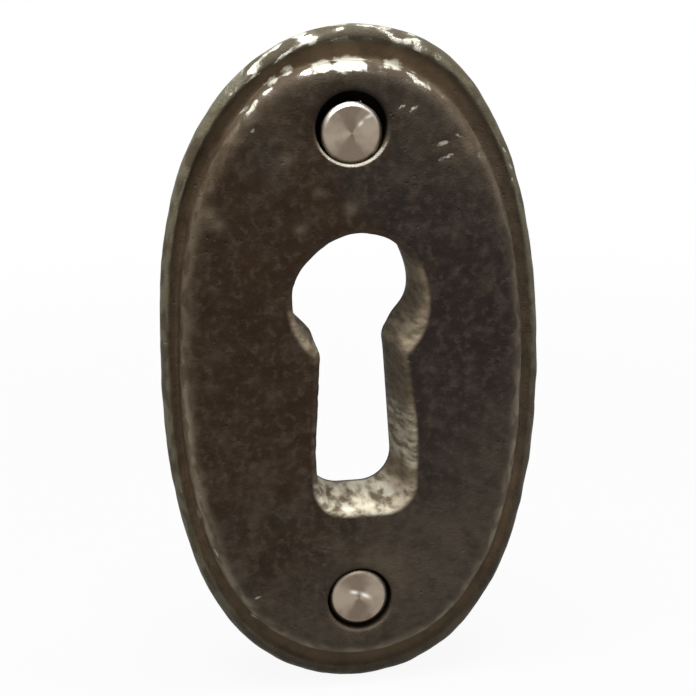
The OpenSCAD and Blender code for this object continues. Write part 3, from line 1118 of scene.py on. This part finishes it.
@dataclass(frozen=True)
class OldIron:
    """The plate's finish: brown-black iron, olive towards its foot, rubbed bright along its edges, with
    painted highlights along its top and painted shade in its fixing holes.
    """

    brown: tuple = (0.0270, 0.0150, 0.0080, 1.0)
    slate: tuple = (0.0200, 0.0145, 0.0125, 1.0)
    olive: tuple = (0.0300, 0.0240, 0.0165, 1.0)
    # Colour of the shoulder's band and of pale spots: wear, and painted highlights on the shoulder and the
    # mouths' lower edges.
    worn: tuple = (0.0920, 0.0700, 0.0460, 1.0)
    # Paler bead colour: partly the bead's own greyer tone, partly painted light on its top and left, which
    # face the lamps.
    patina_and_light: tuple = (0.0900, 0.0800, 0.0520, 1.0)
    fair: tuple = (0.0560, 0.0430, 0.0310, 1.0)
    rust: tuple = (0.1300, 0.0900, 0.0540, 1.0)
    # The shoulder's paler colour towards the foot: a painted highlight along its rounded edge, partly rubbed
    # wear.
    rubbed: tuple = (0.1900, 0.1520, 0.1040, 1.0)
    # Dark colour for random blotches on the skin, and for the painted shade in and above the fixing holes.
    dark_and_shade: tuple = (0.0090, 0.0070, 0.0050, 1.0)
    gold: tuple = (0.1700, 0.1320, 0.0880, 1.0)
    shade: tuple = (0.0900, 0.0690, 0.0440, 1.0)
    chalk: tuple = (0.5000, 0.4650, 0.3600, 1.0)
    # Bare metal: real chipped and scored spots, and painted highlights laid as bare metal.
    metal: tuple = (0.5200, 0.5000, 0.4200, 1.0)
    specular: float = 0.06
    chip_share: float = 0.5
    coat_roughness: float = 0.22

    def skin(self, wires: Wires, grain: bpy.types.Node, place: bpy.types.NodeSocket) -> bpy.types.NodeSocket:
        """Gives the colour of the flat iron: brown on the left, slate on the right, olive at the foot.

        Args:
            wires: The material's wires.
            grain: The casting grain in the material.
            place: Place on the object in millimetres.

        Returns:
            The colour.
        """
        parts = wires.place("ShaderNodeSeparateXYZ", {0: place}).outputs
        broad = wires.cloud(place, 4.5, 3.0, 0.55)
        drift = wires.maths("MULTIPLY", wires.maths("SUBTRACT", broad, 0.5), 30.0)
        side = wires.ramp(wires.maths("ADD", parts["X"], drift), -5.0, 6.0)
        foot = wires.ramp(wires.maths("ADD", parts["Z"], drift), -7.0, -22.0)
        head = wires.ramp(wires.maths("ADD", parts["Z"], drift), 12.0, 24.0)
        colour = wires.blend(side, self.brown, self.slate)
        ends = wires.maths("MAXIMUM", foot, wires.maths("MULTIPLY", head, 0.9))
        colour = wires.blend(wires.maths("MULTIPLY", ends, 0.75), colour, self.olive)
        mottle = grain.outputs["Mottle"]
        low_right = wires.ramp(wires.maths("SUBTRACT", parts["X"], parts["Z"]), 8.0, 24.0, 0.0, 0.55)
        colour = wires.blend(low_right, colour, self.fair)
        high_right = wires.ramp(wires.maths("ADD", parts["X"], parts["Z"]), 18.0, 28.0, 0.0, 0.35)
        colour = wires.blend(high_right, colour, self.fair)
        colour = wires.blend(wires.ramp(mottle, 0.52, 0.32, 0.0, 0.32), colour, self.dark_and_shade)
        colour = wires.blend(wires.ramp(mottle, 0.48, 0.70, 0.0, 0.45), colour, self.fair)
        stains = wires.ramp(wires.cloud(place, 1.7, 4.0, 0.65), 0.49, 0.57, 0.0, 0.42)
        stains = wires.maths("MULTIPLY", stains, wires.ramp(parts["Z"], -5.0, -14.0))
        colour = wires.blend(stains, colour, self.fair)
        blotch = wires.cloud(place, 0.7, 3.0, 0.6)
        colour = wires.blend(wires.ramp(blotch, 0.50, 0.68, 0.0, 0.50), colour, self.fair)
        return wires.blend(wires.ramp(blotch, 0.48, 0.32, 0.0, 0.25), colour, self.dark_and_shade)

    def keyhole_wall(self, wires: Wires, colour: object, place: bpy.types.NodeSocket) -> bpy.types.NodeSocket:
        """Lays the rough golden brown of the keyhole's wall, chalky towards the foot, over a colour, fading it
        back into that colour as painted shade where the wall is unlit.

        Args:
            wires: The material's wires.
            colour: The colour under it.
            place: Place on the object in millimetres.

        Returns:
            The colour.
        """
        inner = wires.ramp(wires.mask(Zone.WALL), 0.02, 0.35)
        parts = wires.place("ShaderNodeSeparateXYZ", {0: place}).outputs
        up = parts["Z"]
        # Painted shade: the wall's colour fades into the darker colour under it on the unlit left side of the
        # slot and the head and on the top of the head; the same fade also darkens the upper part of the slot.
        slot = wires.maths("MULTIPLY", wires.ramp(up, -9.6, -8.4), wires.ramp(up, 1.6, 0.6))
        head = wires.ramp(up, 4.6, 6.0)
        unlit = wires.maths("MULTIPLY", wires.ramp(parts["X"], -0.4, -1.4), wires.maths("ADD", slot, head))
        smooth = wires.maths("MULTIPLY", wires.ramp(up, -4.0, -2.2), wires.ramp(up, 2.2, 1.2, 0.0, 0.6))
        above = wires.ramp(up, 7.6, 9.6, 0.0, 0.9)
        unlit = wires.maths("MAXIMUM", unlit, wires.maths("MAXIMUM", smooth, above))
        shown = wires.maths("SUBTRACT", 0.92, wires.maths("MULTIPLY", unlit, 0.75))
        inner = wires.maths("MULTIPLY", inner, shown)
        drawn = wires.place("ShaderNodeVectorMath", {0: place, 1: (0.6, 0.25, 1.0)}, operation="MULTIPLY")
        lumps = wires.cloud(drawn.outputs["Vector"], 0.5, 3.0, 0.5)
        tone = wires.blend(wires.ramp(lumps, 0.30, 0.70), self.shade, self.gold)
        neck = wires.ramp(wires.maths("ABSOLUTE", wires.maths("SUBTRACT", up, 2.6)), 2.0, 0.6, 0.0, 0.12)
        low = wires.ramp(up, -2.5, -4.5, 0.0, 0.50)
        low = wires.maths("ADD", low, wires.ramp(up, -8.6, -10.8, 0.0, 0.45))
        corner = wires.ramp(parts["X"], 2.2, 3.4)
        corner = wires.maths("MULTIPLY", corner, wires.ramp(up, -7.8, -8.8, 0.0, 0.6))
        low = wires.maths("SUBTRACT", wires.maths("MAXIMUM", low, neck), corner, clamp=True)
        pale = wires.maths("MULTIPLY", wires.ramp(lumps, 0.30, 0.72), low)
        tone = wires.blend(pale, tone, self.chalk)
        return wires.blend(inner, colour, tone)

    def make(self, grain: bpy.types.NodeTree, wear: bpy.types.NodeTree) -> bpy.types.Material:
        """Makes the material.

        Args:
            grain: The casting grain group.
            wear: The worn metal group.

        Returns:
            The material.
        """
        material = bpy.data.materials.new("old_iron")
        material.use_nodes = True
        wires = Wires(material.node_tree)
        shader = material.node_tree.nodes["Principled BSDF"]
        place = wires.millimetres()
        skin = wires.group(grain, {"Grain": 1.0, "Pits": 1.0})
        mottle = skin.outputs["Mottle"]
        colour = self.skin(wires, skin, place)
        groove, wall, lip = wires.mask(Zone.GROOVE), wires.mask(Zone.WALL), wires.mask(Zone.LIP)
        bead, shoulder = wires.mask(Zone.BEAD), wires.mask(Zone.SHOULDER)
        up = wires.place("ShaderNodeSeparateXYZ", {0: place}).outputs["Z"]
        edge = wires.maths("ADD", wires.maths("MULTIPLY", bead, 0.8), shoulder, clamp=True)
        patchy = wires.ramp(mottle, 0.30, 0.62, 0.6, 1.0)
        run = wires.ramp(wires.mask(Zone.STREAK), 0.25, 0.75, 0.45, 1.0)
        across = wires.place("ShaderNodeSeparateXYZ", {0: place}).outputs["X"]
        # The bead turns paler towards its top and left: partly its own greyer tone, partly painted light on
        # the sides that face the lamps.
        left = wires.ramp(across, 3.0, -9.0, 0.0, 18.0)
        greyed_and_lit = wires.ramp(wires.maths("ADD", up, left), -14.0, 6.0, 0.15, 1.0)
        greyed_and_lit = wires.maths("MULTIPLY", bead, greyed_and_lit)
        colour = wires.blend(wires.maths("MULTIPLY", greyed_and_lit, run), colour, self.patina_and_light)
        # The shoulder's band, paler towards the foot: partly rubbed wear, partly a painted highlight along its
        # rounded edge.
        rim = wires.blend(wires.ramp(up, 5.0, -6.0), self.worn, self.rubbed)
        colour = wires.blend(wires.maths("MULTIPLY", shoulder, run), colour, rim)
        from_middle = wires.maths("ABSOLUTE", wires.maths("SUBTRACT", up, 6.5))
        rusty = wires.maths("MULTIPLY", groove, wires.ramp(from_middle, 12.0, 17.0, 0.5, 1.0))
        colour = wires.blend(wires.maths("MULTIPLY", rusty, patchy), colour, self.rust)
        # Pale spots: real wear, and painted highlights on the top shoulder and the mouths' lower edges.
        colour = wires.blend(wires.maths("MULTIPLY", wires.mask(Zone.PALE), patchy), colour, self.worn)
        colour = self.keyhole_wall(wires, colour, place)
        # Bare metal and a stronger coat along the bead and shoulder only near the top, where the light from
        # above catches them: painted highlights, partly rubbed wear.
        aside = wires.maths("ABSOLUTE", wires.maths("ADD", across, 1.0))
        highlight_top = wires.maths("MULTIPLY", wires.ramp(aside, 11.0, 6.0), wires.ramp(up, 9.0, 17.0))
        streak = wires.ramp(wires.mask(Zone.STREAK), 0.40, 0.72)
        rubbed = wires.group(wear, {
            "Mask": wires.maths("MULTIPLY", edge, streak), "Amount": wires.maths("MULTIPLY", highlight_top, 0.85)
        }).outputs["Bare"]
        # Bare spots from the marks and the mouths: real chipped and scored spots, and painted highlights; they
        # keep full strength only at the very top, where the painted highlights lie.
        chips_and_highlights = wires.group(wear, {"Mask": wires.mask(Zone.BARE), "Amount": 0.95}).outputs["Bare"]
        chips_and_highlights = wires.maths("MULTIPLY", chips_and_highlights, wires.ramp(up, 19.5, 21.5, self.chip_share, 1.0))
        bare = wires.maths("MAXIMUM", rubbed, chips_and_highlights)
        colour = wires.blend(bare, colour, self.metal)
        # Painted shade in the fixing holes' mouths and on the field just above them.
        colour = wires.blend(wires.maths("MULTIPLY", wires.mask(Zone.MOUTH_SHADE), 0.8), colour, self.dark_and_shade)
        wires.tree.links.new(colour, shader.inputs["Base Color"])
        wires.tree.links.new(wires.maths("MULTIPLY", bare, 0.7), shader.inputs["Metallic"])
        matt = wires.ramp(mottle, 0.35, 0.65, 0.46, 0.62)
        inner = wires.maths("MAXIMUM", groove, wires.ramp(wall, 0.1, 0.8))
        matt = wires.maths("ADD", matt, wires.maths("MULTIPLY", inner, 0.2))
        matt = wires.maths("SUBTRACT", matt, wires.maths("MULTIPLY", edge, 0.1), clamp=True)
        wires.tree.links.new(matt, shader.inputs["Roughness"])
        gloss = wires.maths("MULTIPLY", wires.maths("MAXIMUM", edge, wires.maths("MULTIPLY", lip, 0.4)),
                            wires.maths("MULTIPLY", streak, wires.ramp(highlight_top, 0.0, 1.0, 0.12, 0.8)))
        wires.tree.links.new(gloss, shader.inputs["Coat Weight"])
        shader.inputs["Coat Roughness"].default_value = self.coat_roughness
        shader.inputs["Specular IOR Level"].default_value = self.specular
        bump = wires.place("ShaderNodeBump", {
            "Strength": 1.0, "Distance": 0.06 * MM, "Height": skin.outputs["Height"]
        })
        wires.tree.links.new(bump.outputs["Normal"], shader.inputs["Normal"])
        wires.tree.links.new(bump.outputs["Normal"], shader.inputs["Coat Normal"])
        return material


@dataclass(frozen=True)
class TurnedSteel:
    """The pins' finish: warm grey steel with the fine rings of the lathe, a painted bow-tie of darker sectors
    above and below the middle of each face for its reflection, and painted highlights on the upper chamfer and
    the lower face.
    """

    steel: tuple = (0.340, 0.280, 0.220, 1.0)
    # Darker steel: random dull patches, and the painted bow-tie shade of the turned face's reflection.
    stain_and_shade: tuple = (0.180, 0.140, 0.103, 1.0)
    # Brighter steel: scores on the upper pin, and painted highlights: glints on the lower pin's face and the
    # top of the upper pin's chamfer.
    bright: tuple = (0.86, 0.83, 0.77, 1.0)
    anisotropy: float = 0.5
    ring_gap: float = 0.12

    def make(self, name: str, pin: TurnedPin, grain: bpy.types.NodeTree) -> bpy.types.Material:
        """Makes the material of one pin.

        Args:
            name: Name of the material.
            pin: The pin that it goes on.
            grain: The casting grain group.

        Returns:
            The material.
        """
        material = bpy.data.materials.new(name)
        material.use_nodes = True
        wires = Wires(material.node_tree)
        shader = material.node_tree.nodes["Principled BSDF"]
        place = wires.millimetres()
        centre = (-pin.lean[0], 0.0, -pin.up - pin.lean[1])
        moved = wires.place("ShaderNodeVectorMath", {0: place, 1: centre}, operation="ADD")
        flat = wires.place("ShaderNodeVectorMath", {0: moved.outputs["Vector"], 1: (1.0, 0.0, 1.0)},
                           operation="MULTIPLY")
        reach = wires.place("ShaderNodeVectorMath", {0: flat.outputs["Vector"]}, operation="LENGTH")
        spread = wires.maths("DIVIDE", reach.outputs["Value"], self.ring_gap)
        rings = wires.place("ShaderNodeTexNoise", {"W": spread, "Scale": 1.0, "Detail": 2.0},
                            noise_dimensions="1D").outputs["Fac"]
        ray = wires.place("ShaderNodeVectorMath", {0: flat.outputs["Vector"]}, operation="NORMALIZE")
        parts = wires.place("ShaderNodeSeparateXYZ", {0: ray.outputs["Vector"]}).outputs
        # Darker sectors above and below the middle of the face: a painted bow-tie shade standing for the
        # turned face's reflection.
        drift = wires.maths("MULTIPLY", wires.maths("SUBTRACT", wires.cloud(place, 1.4, 2.0), 0.5), 1.2)
        bow_tie_shade = wires.maths("ADD", wires.maths("ABSOLUTE", wires.maths("ADD", parts["X"], 0.1)), drift)
        skin = wires.group(grain, {"Grain": 0.5, "Pits": 0.3}).outputs
        dull = wires.ramp(skin["Mottle"], 0.50, 0.70, 0.0, 0.35)
        tone = wires.ramp(bow_tie_shade, 1.0, 0.40, 0.0, 0.85)
        share = wires.maths("ADD", wires.maths("ADD", dull, tone), wires.ramp(rings, 0.4, 0.7, 0.0, 0.06),
                            clamp=True)
        colour = wires.blend(share, self.steel, self.stain_and_shade)
        depth = wires.place("ShaderNodeSeparateXYZ", {0: place}).outputs["Y"]
        behind = wires.maths("ADD", depth, pin.face_height)
        # The top of the chamfer is painted bright: a painted highlight where the light from above catches it.
        edge = wires.maths("MULTIPLY", wires.ramp(behind, 0.02, 0.06), wires.ramp(behind, 0.5, 0.35))
        edge = wires.maths("MULTIPLY", edge, wires.ramp(parts["Z"], 0.1, 0.8, 0.0, pin.chamfer_highlight))
        colour = wires.blend(wires.maths("MAXIMUM", edge, wires.mask(Zone.BARE)), colour, self.bright)
        wires.tree.links.new(colour, shader.inputs["Base Color"])
        wires.tree.links.new(wires.ramp(skin["Mottle"], 0.3, 0.7, 0.30, 0.44), shader.inputs["Roughness"])
        shader.inputs["Metallic"].default_value = 1.0
        shader.inputs["Anisotropic"].default_value = self.anisotropy
        turn = wires.place("ShaderNodeTangent", None, direction_type="RADIAL", axis="Y")
        wires.tree.links.new(turn.outputs["Tangent"], shader.inputs["Tangent"])
        height = wires.maths("ADD", rings, wires.maths("MULTIPLY", skin["Height"], 0.4))
        bump = wires.place("ShaderNodeBump", {"Strength": 0.25, "Distance": 0.010 * MM, "Height": height})
        wires.tree.links.new(bump.outputs["Normal"], shader.inputs["Normal"])
        return material


@dataclass(frozen=True)
class Lamp:
    """An area lamp that looks at the plate.

    Args:
        name: Name of the lamp.
        at: Its place, in millimetres.
        width: Width of its panel.
        depth: Depth of its panel.
        power: Its power in watts.
    """

    name: str
    at: tuple[float, float, float]
    width: float
    depth: float
    power: float

    def hang(self) -> None:
        """Puts the lamp in the scene."""
        data = bpy.data.lights.new(self.name, "AREA")
        data.shape = "RECTANGLE"
        data.size, data.size_y = self.width * MM, self.depth * MM
        data.energy = self.power
        lamp = bpy.data.objects.new(self.name, data)
        bpy.context.scene.collection.objects.link(lamp)
        lamp.location = Vector(self.at) * MM
        lamp.rotation_euler = (-lamp.location).to_track_quat("-Z", "Y").to_euler()


@dataclass
class Studio:
    """The floor, the white surroundings, the lamps and the camera, in millimetres and degrees."""

    white: tuple = (1.0, 1.0, 1.0, 1.0)
    floor_colour: tuple = (0.3, 0.3, 0.3, 1.0)
    floor_roughness: float = 0.9
    lamps: tuple[Lamp, ...] = (
        Lamp("key", (-70.0, -190.0, 460.0), 360.0, 200.0, 2.6),
        Lamp("ceiling", (0.0, -45.0, 320.0), 260.0, 70.0, 1.6),
    )
    floor_drop: float = 27.05
    floor_reach: float = 3000.0
    ambient: float = 0.50
    near_glow: float = 0.93
    glow_from: float = 60.0
    glow_to: float = 220.0
    target: tuple = (0.0, -5.5, 0.0)
    azimuth: float = 9.49
    elevation: float = 15.50
    distance: float = 129.9
    focal_pixels: float = 1644.0
    frame_pixels: float = 696.0
    target_pixel: tuple = (357.0, 372.8)
    roll: float = -0.93
    sensor: float = 36.0

    def floor(self) -> bpy.types.Object:
        """Makes the pale floor that keeps a faint shadow.

        Returns:
            The floor's object.
        """
        mesh = bpy.data.meshes.new("floor")
        reach, drop = self.floor_reach * MM, -self.floor_drop * MM
        mesh.from_pydata([(-reach, -reach, drop), (reach, -reach, drop), (reach, reach, drop),
                          (-reach, reach, drop)], [], [(0, 1, 2, 3)])
        floor = bpy.data.objects.new("floor", mesh)
        bpy.context.scene.collection.objects.link(floor)
        material = bpy.data.materials.new("pale_floor")
        material.use_nodes = True
        wires = Wires(material.node_tree)
        shader = material.node_tree.nodes["Principled BSDF"]
        output = material.node_tree.nodes["Material Output"]
        shader.inputs["Base Color"].default_value = self.floor_colour
        shader.inputs["Roughness"].default_value = self.floor_roughness
        shader.inputs["Specular IOR Level"].default_value = 0.0
        seen = self.seen(wires)
        glow = wires.place("ShaderNodeEmission", {"Color": self.white, "Strength": 1.0})
        reach_out = wires.place("ShaderNodeVectorMath", {0: wires.millimetres()}, operation="LENGTH")
        fade = wires.ramp(reach_out.outputs["Value"], self.glow_from, self.glow_to, self.near_glow, 1.0)
        share = wires.maths("MULTIPLY", seen, fade)
        mixed = wires.place("ShaderNodeMixShader", {
            0: share, 1: shader.outputs["BSDF"], 2: glow.outputs["Emission"]
        })
        wires.tree.links.new(mixed.outputs["Shader"], output.inputs["Surface"])
        mesh.materials.append(material)
        return floor

    def seen(self, wires: Wires) -> bpy.types.NodeSocket:
        """Tells whether a ray is seen directly, in a reflection or through glass.

        Args:
            wires: The material's wires.

        Returns:
            1 for such a ray and 0 for others.
        """
        path = wires.place("ShaderNodeLightPath").outputs
        seen = wires.maths("MAXIMUM", path["Is Camera Ray"], path["Is Glossy Ray"])
        return wires.maths("MAXIMUM", seen, path["Is Transmission Ray"])

    def surroundings(self) -> None:
        """Makes the world: white where it is seen, and plain soft light elsewhere."""
        world = bpy.data.worlds.new("white_room")
        bpy.context.scene.world = world
        world.use_nodes = True
        wires = Wires(world.node_tree)
        light = world.node_tree.nodes["Background"]
        light.inputs["Color"].default_value = self.white
        light.inputs["Strength"].default_value = self.ambient
        white = wires.place("ShaderNodeBackground", {"Color": self.white, "Strength": 1.0})
        mixed = wires.place("ShaderNodeMixShader", {
            0: self.seen(wires), 1: light.outputs[0], 2: white.outputs[0]
        })
        wires.tree.links.new(mixed.outputs[0], world.node_tree.nodes["World Output"].inputs["Surface"])

    def camera(self) -> None:
        """Sets the camera where the photograph was taken from, with its aim and its slight roll."""
        azimuth, elevation = math.radians(self.azimuth), math.radians(self.elevation)
        back = Vector((-math.sin(azimuth) * math.cos(elevation),
                       -math.cos(azimuth) * math.cos(elevation), math.sin(elevation)))
        right = Vector((0, 0, 1)).cross(back).normalized()
        up = back.cross(right)
        roll = math.radians(self.roll)
        right, up = (right * math.cos(roll) + up * math.sin(roll),
                     up * math.cos(roll) - right * math.sin(roll))
        middle = self.frame_pixels / 2
        aside = (self.target_pixel[0] - middle) / self.focal_pixels
        below = (self.target_pixel[1] - middle) / self.focal_pixels
        look = (-back - right * aside + up * below).normalized()
        right = look.cross(up).normalized()
        up = right.cross(look)
        data = bpy.data.cameras.new("camera")
        data.sensor_width = self.sensor
        data.lens = self.focal_pixels / self.frame_pixels * self.sensor
        data.clip_start, data.clip_end = 0.01, 10.0
        camera = bpy.data.objects.new("camera", data)
        bpy.context.scene.collection.objects.link(camera)
        place = (Vector(self.target) + back * self.distance) * MM
        turn = Matrix((right, up, -look)).transposed()
        camera.matrix_world = Matrix.Translation(place) @ turn.to_4x4()
        bpy.context.scene.camera = camera

    def build(self) -> None:
        """Sets the whole studio up."""
        self.floor()
        self.surroundings()
        for lamp in self.lamps:
            lamp.hang()
        self.camera()
        bpy.context.scene.view_settings.view_transform = "Standard"


def plate_marks() -> tuple[Mark, ...]:
    """Lists the dents, bare spots and painted highlights that the plate has.

    Returns:
        The marks, from the top of the plate to its foot.
    """
    return (
        # Bare metal laid along the top of the shoulder, where the light from above catches it: painted
        # highlights, partly wear.
        Mark(-0.3, 24.0, 0.74, bare=1.0, stretch=2.4, turn=2),
        Mark(-2.4, 23.9, 0.62, bare=1.0, stretch=1.8, turn=14),
        Mark(3.2, 23.9, 0.55, bare=0.9, stretch=2.2, turn=-12),
        Mark(-5.0, 23.7, 0.42, 0.03, 0.85, stretch=2.0, turn=25),
        Mark(-6.2, 22.9, 0.40, 0.04, 0.80, stretch=2.2, turn=40),
        Mark(-8.2, 20.9, 0.28, 0.03, 0.60, 0.6, stretch=2.6, turn=50),
        Mark(-9.1, 20.0, 0.26, 0.03, 0.55, 0.6, stretch=2.4, turn=52),
        Mark(4.8, 23.0, 0.40, 0.03, 0.75, stretch=2.0, turn=-35),
        Mark(5.8, 22.2, 0.36, 0.03, 0.65, 0.4, stretch=2.0, turn=-40),
        Mark(6.7, 21.4, 0.30, 0.02, 0.50, 0.5, stretch=2.0, turn=-45),
        # Bare metal on the lower edge of the keyhole's foot lip: painted highlights.
        Mark(-0.8, -11.5, 0.24, bare=0.9, stretch=4.0, turn=-6),
        Mark(2.8, -10.9, 0.24, bare=0.9, stretch=3.0, turn=25),
        Mark(-11.0, 13.2, 0.55, 0.10, 0.35, 0.9, stretch=1.3, turn=-40),
        Mark(-10.4, 12.3, 0.50, 0.05, 0.20, 0.9),
        Mark(-13.0, 4.4, 0.50, -0.05, 0.30, 0.6),
        Mark(7.0, 17.9, 0.24, 0.06, 1.0, 0.6, stretch=3.0, turn=14),
        Mark(7.4, 16.9, 0.18, 0.04, 1.0, 0.4, stretch=4.0, turn=16),
        Mark(12.8, 15.6, 0.20, 0.04, 0.9, 0.5, stretch=2.4, turn=-60),
        Mark(12.3, 16.9, 0.16, 0.04, 0.8, 0.5, stretch=2.4, turn=-60),
        Mark(8.3, 18.4, 0.24, 0.06, 0.80, 0.6, stretch=2.4, turn=-25),
        Mark(9.2, 17.5, 0.50, 0.06, 0.50, 0.9, stretch=2.0, turn=-50),
        Mark(10.0, 16.8, 0.38, 0.10, 0.60, 0.8),
        Mark(6.8, 16.6, 0.22, 0.05, 0.70, 0.4, stretch=2.0, turn=25),
        Mark(4.7, 20.6, 0.20, 0.04, 0.95, 0.5, stretch=2.8, turn=38),
        Mark(3.8, 20.8, 0.20, 0.04, 0.85, 0.4, stretch=2.2, turn=25),
        # A painted highlight laid as bare metal by the upper left shoulder.
        Mark(-7.6, 19.4, 0.24, 0.04, 0.75, stretch=2.0, turn=45),
        Mark(-5.2, 17.0, 0.50, 0.02, pale=0.6),
        Mark(-4.3, 11.7, 0.40, 0.03, 0.25, 0.8),
        Mark(-2.8, 14.5, 0.40, 0.0, pale=0.7),
        Mark(-0.3, 13.1, 0.45, 0.03, pale=0.7),
        Mark(13.0, 14.6, 0.24, 0.12, 0.75, 0.5),
        Mark(14.8, 4.2, 0.25, 0.10, 0.6, 0.3),
        # Bright streaks along the lower left shoulder: partly wear, partly painted highlights.
        Mark(-12.8, -11.5, 0.24, 0.04, 0.70, 0.6, stretch=4.0, turn=-74),
        Mark(-11.7, -14.4, 0.24, 0.04, 0.65, 0.6, stretch=4.0, turn=-64),
        Mark(-13.3, -7.5, 0.30, 0.02, 0.35, 0.9, stretch=5.0, turn=-82),
        Mark(-8.4, -18.4, 0.24, 0.03, 0.95, 0.5, stretch=2.2, turn=15),
        Mark(-8.4, -20.9, 0.26, 0.03, 0.90, 0.5, stretch=2.4, turn=-30),
        Mark(4.0, -22.9, 0.40, 0.02, 0.40, 0.9, stretch=3.0, turn=25),
        Mark(1.9, -17.2, 2.2, 0.02, pale=0.5, stretch=1.3, turn=-30),
        Mark(8.2, -22.6, 0.55, 0.0, 0.20, 0.8, stretch=3.0, turn=42),
        Mark(9.0, 18.5, 2.4, pale=0.3, stretch=1.6, turn=-50),
        Mark(-6.0, 21.5, 1.6, pale=0.35, stretch=2.0, turn=35),
    )


def main() -> None:
    """Builds the plate, the pins and the studio in order."""
    grain, wear = casting_grain(), worn_metal()
    plate = CastPlate(marks=plate_marks())
    dressed = plate.build()
    dressed.data.materials.append(OldIron().make(grain, wear))
    log.info("plate: %d points, %d faces", len(dressed.data.vertices), len(dressed.data.polygons))
    finish = TurnedSteel()
    upper_scratches = (
        Mark(0.62, plate.pin_height + 0.72, 0.12, bare=0.8, stretch=2.0, turn=45),
        Mark(1.30, plate.pin_height + 1.26, 0.10, bare=0.7, stretch=3.6, turn=24),
    )
    # Painted glints on the lower pin's face.
    lower_glints = (
        Mark(-0.5, 0.24 - plate.pin_height, 0.15, bare=1.0, stretch=2.2, turn=-15),
        Mark(0.4, -0.10 - plate.pin_height, 0.16, bare=1.0, stretch=2.6, turn=-30),
    )
    pins = (
        TurnedPin("turned_pin_upper", "upper_pin", plate.pin_height, plate.upper_bore_lean,
                  upper_scratches, chamfer_highlight=0.55),
        TurnedPin("turned_pin_lower", "lower_pin", -plate.pin_height, plate.lower_bore_lean,
                  lower_glints),
    )
    for pin in pins:
        made = pin.build()
        made.data.materials.append(finish.make(f"steel_{pin.node}", pin, grain))
        log.info("%s: %d points", pin.name, len(made.data.vertices))
    Studio().build()


if __name__ == "__main__":
    main()
